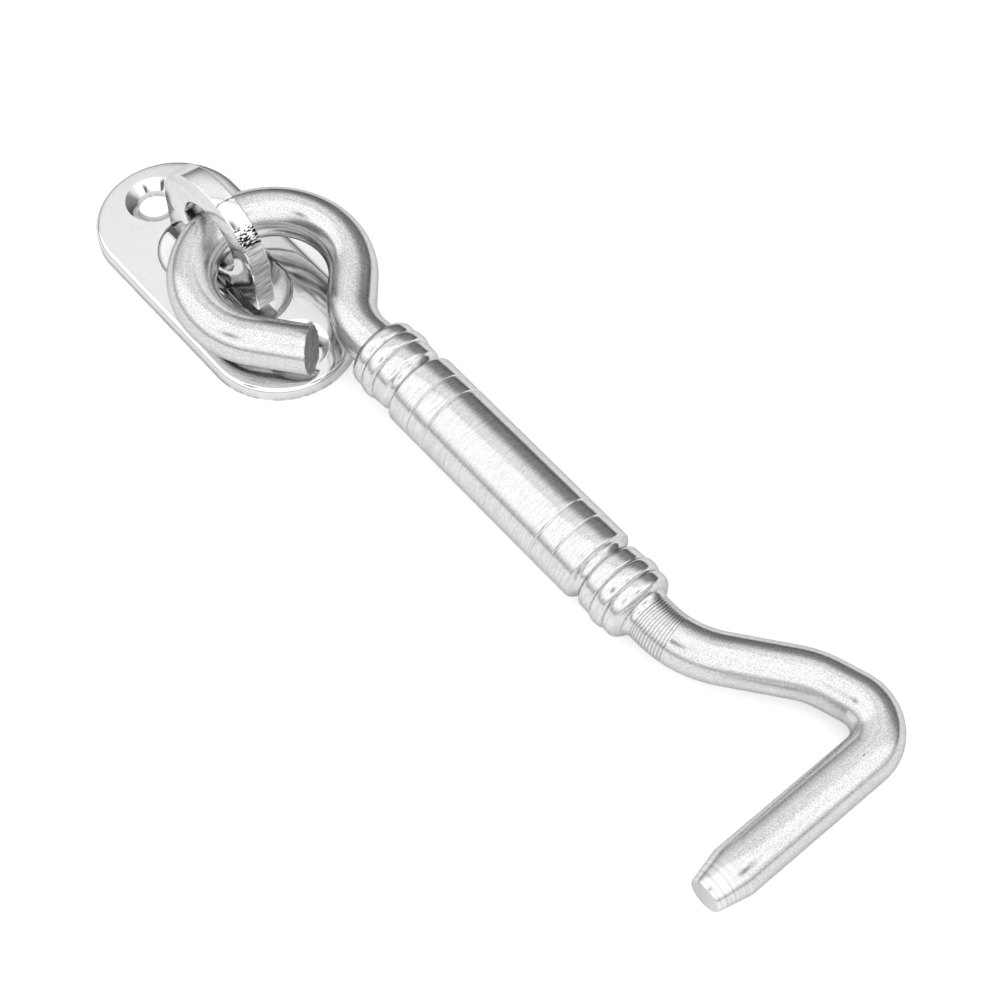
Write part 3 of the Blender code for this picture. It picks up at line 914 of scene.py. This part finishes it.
def seam(tree, view, bearing):
    """A dark upright seam of the tent, half way up, as the share of light that it leaves."""
    angle = math.radians(bearing)
    sideways = (-math.sin(angle), math.cos(angle), 0.0)
    forward = (math.cos(angle), math.sin(angle), 0.0)
    across = add(tree, "VectorMath", (view, sideways), operation="DOT_PRODUCT")
    ahead = add(tree, "VectorMath", (view, forward), operation="DOT_PRODUCT")
    off = add(tree, "Math", (across,), operation="ABSOLUTE")
    dark = add(tree, "MapRange", (off, 0.05, 0.14, 0.9, 0.0), interpolation_type="SMOOTHSTEP")
    below_top = add(tree, "MapRange", (ahead, 0.46, 0.58, 0.0, 1.0), interpolation_type="SMOOTHSTEP")
    above_foot = add(tree, "MapRange", (ahead, 0.7, 0.78, 1.0, 0.0), interpolation_type="SMOOTHSTEP")
    part = add(tree, "Math", (below_top, above_foot), operation="MULTIPLY")
    darkness = add(tree, "Math", (dark, part), operation="MULTIPLY")
    return add(tree, "Math", (1.0, darkness), operation="SUBTRACT")


def make_light():
    """A light tent: a bright roof and near side, a greyer far side, and two dark seams."""
    world = bpy.data.worlds.new("light tent")
    bpy.context.scene.world = world
    world.use_nodes = True
    tree = world.node_tree
    sky = add(tree, "TexCoord").outputs["Generated"]
    view = add(tree, "Mapping", {"Vector": sky, "Rotation": (0.0, 0.0, CAMERA_TURN)})
    right, away, up = add(tree, "SeparateXYZ", (view,)).outputs

    # The roof ends in an edge that slants across the tent, with the grey far wall behind it
    edge = add(tree, "Math", (right, 0.24, away), operation="MULTIPLY_ADD")
    behind = add(tree, "MapRange", (edge, 0.27, 0.34, 0.0, 1.0), interpolation_type="SMOOTHSTEP")
    left_wall = add(tree, "MapRange", (up, 0.3, 0.85, 0.8, 1.0), interpolation_type="SMOOTHSTEP")
    rightness = add(tree, "MapRange", (right, 0.05, 0.4, 0.0, 1.0), interpolation_type="SMOOTHSTEP")
    far_wall = add(tree, "Mix", (rightness, left_wall, FAR_RIGHT_LEVEL))
    level = add(tree, "Mix", (behind, ROOF_LEVEL, far_wall))

    # What takes light away: the far right corner, the low part all round, the roof's hem and the seams
    corner = add(tree, "Math", (away, 1.5, right), operation="MULTIPLY_ADD")
    from_hem = add(tree, "Math", (edge, 0.3), operation="SUBTRACT")
    from_hem = add(tree, "Math", (from_hem,), operation="ABSOLUTE")
    for measure in (
        (corner, 0.85, 1.5, 1.0, 0.25),
        (up, 0.0, 0.45, 0.3, 1.0),
        (from_hem, 0.01, 0.03, 0.55, 1.0),
    ):
        left = add(tree, "MapRange", measure, interpolation_type="SMOOTHSTEP")
        level = add(tree, "Math", (level, left), operation="MULTIPLY")
    for bearing in SEAM_BEARINGS:
        level = add(tree, "Math", (level, seam(tree, view, bearing)), operation="MULTIPLY")

    tent = add(tree, "Background", {"Color": "#FFFFFF", "Strength": level})
    plain = add(tree, "Background", {"Color": "#FFFFFF", "Strength": 1.0})
    seen = add(tree, "LightPath").outputs["Is Camera Ray"]
    mixed = add(tree, "MixShader", (seen, tent, plain))
    tree.nodes.remove(tree.nodes["Background"])
    fill(tree, tree.nodes["World Output"].inputs["Surface"], mixed)


def make_camera():
    data = bpy.data.cameras.new("camera")
    data.sensor_width = 36.0
    data.lens = CAMERA_LENS
    data.clip_start = 0.01
    camera = bpy.data.objects.new("camera", data)
    bpy.context.scene.collection.objects.link(camera)
    plate = Matrix.Translation(PLATE_IN_VIEW) @ Matrix.Rotation(CAMERA_TURN, 4, "Z")
    back = -CAMERA_DISTANCE * math.cos(CAMERA_LIFT)
    stand = Matrix.Translation((0, back, CAMERA_DISTANCE * math.sin(CAMERA_LIFT)))
    camera.matrix_world = plate.inverted() @ stand @ Matrix.Rotation(math.pi / 2 - CAMERA_LIFT, 4, "X")
    bpy.context.scene.camera = camera
    bpy.context.scene.view_settings.view_transform = "Standard"


satin = satin_rod_steel()
stamped = stamped_steel()
make_plate(mirror_polished_steel())
make_eye(polished_eye_steel(), filed_steel())
make_washer(stamped)
make_peened_head(stamped)
make_loop_rod(satin, sawn_steel())
make_grip(turned_grip_steel())
make_hook_rod(satin, pointed_rod_steel(), satin_rod_steel(ringed=True))
make_floor()
make_light()
make_camera()
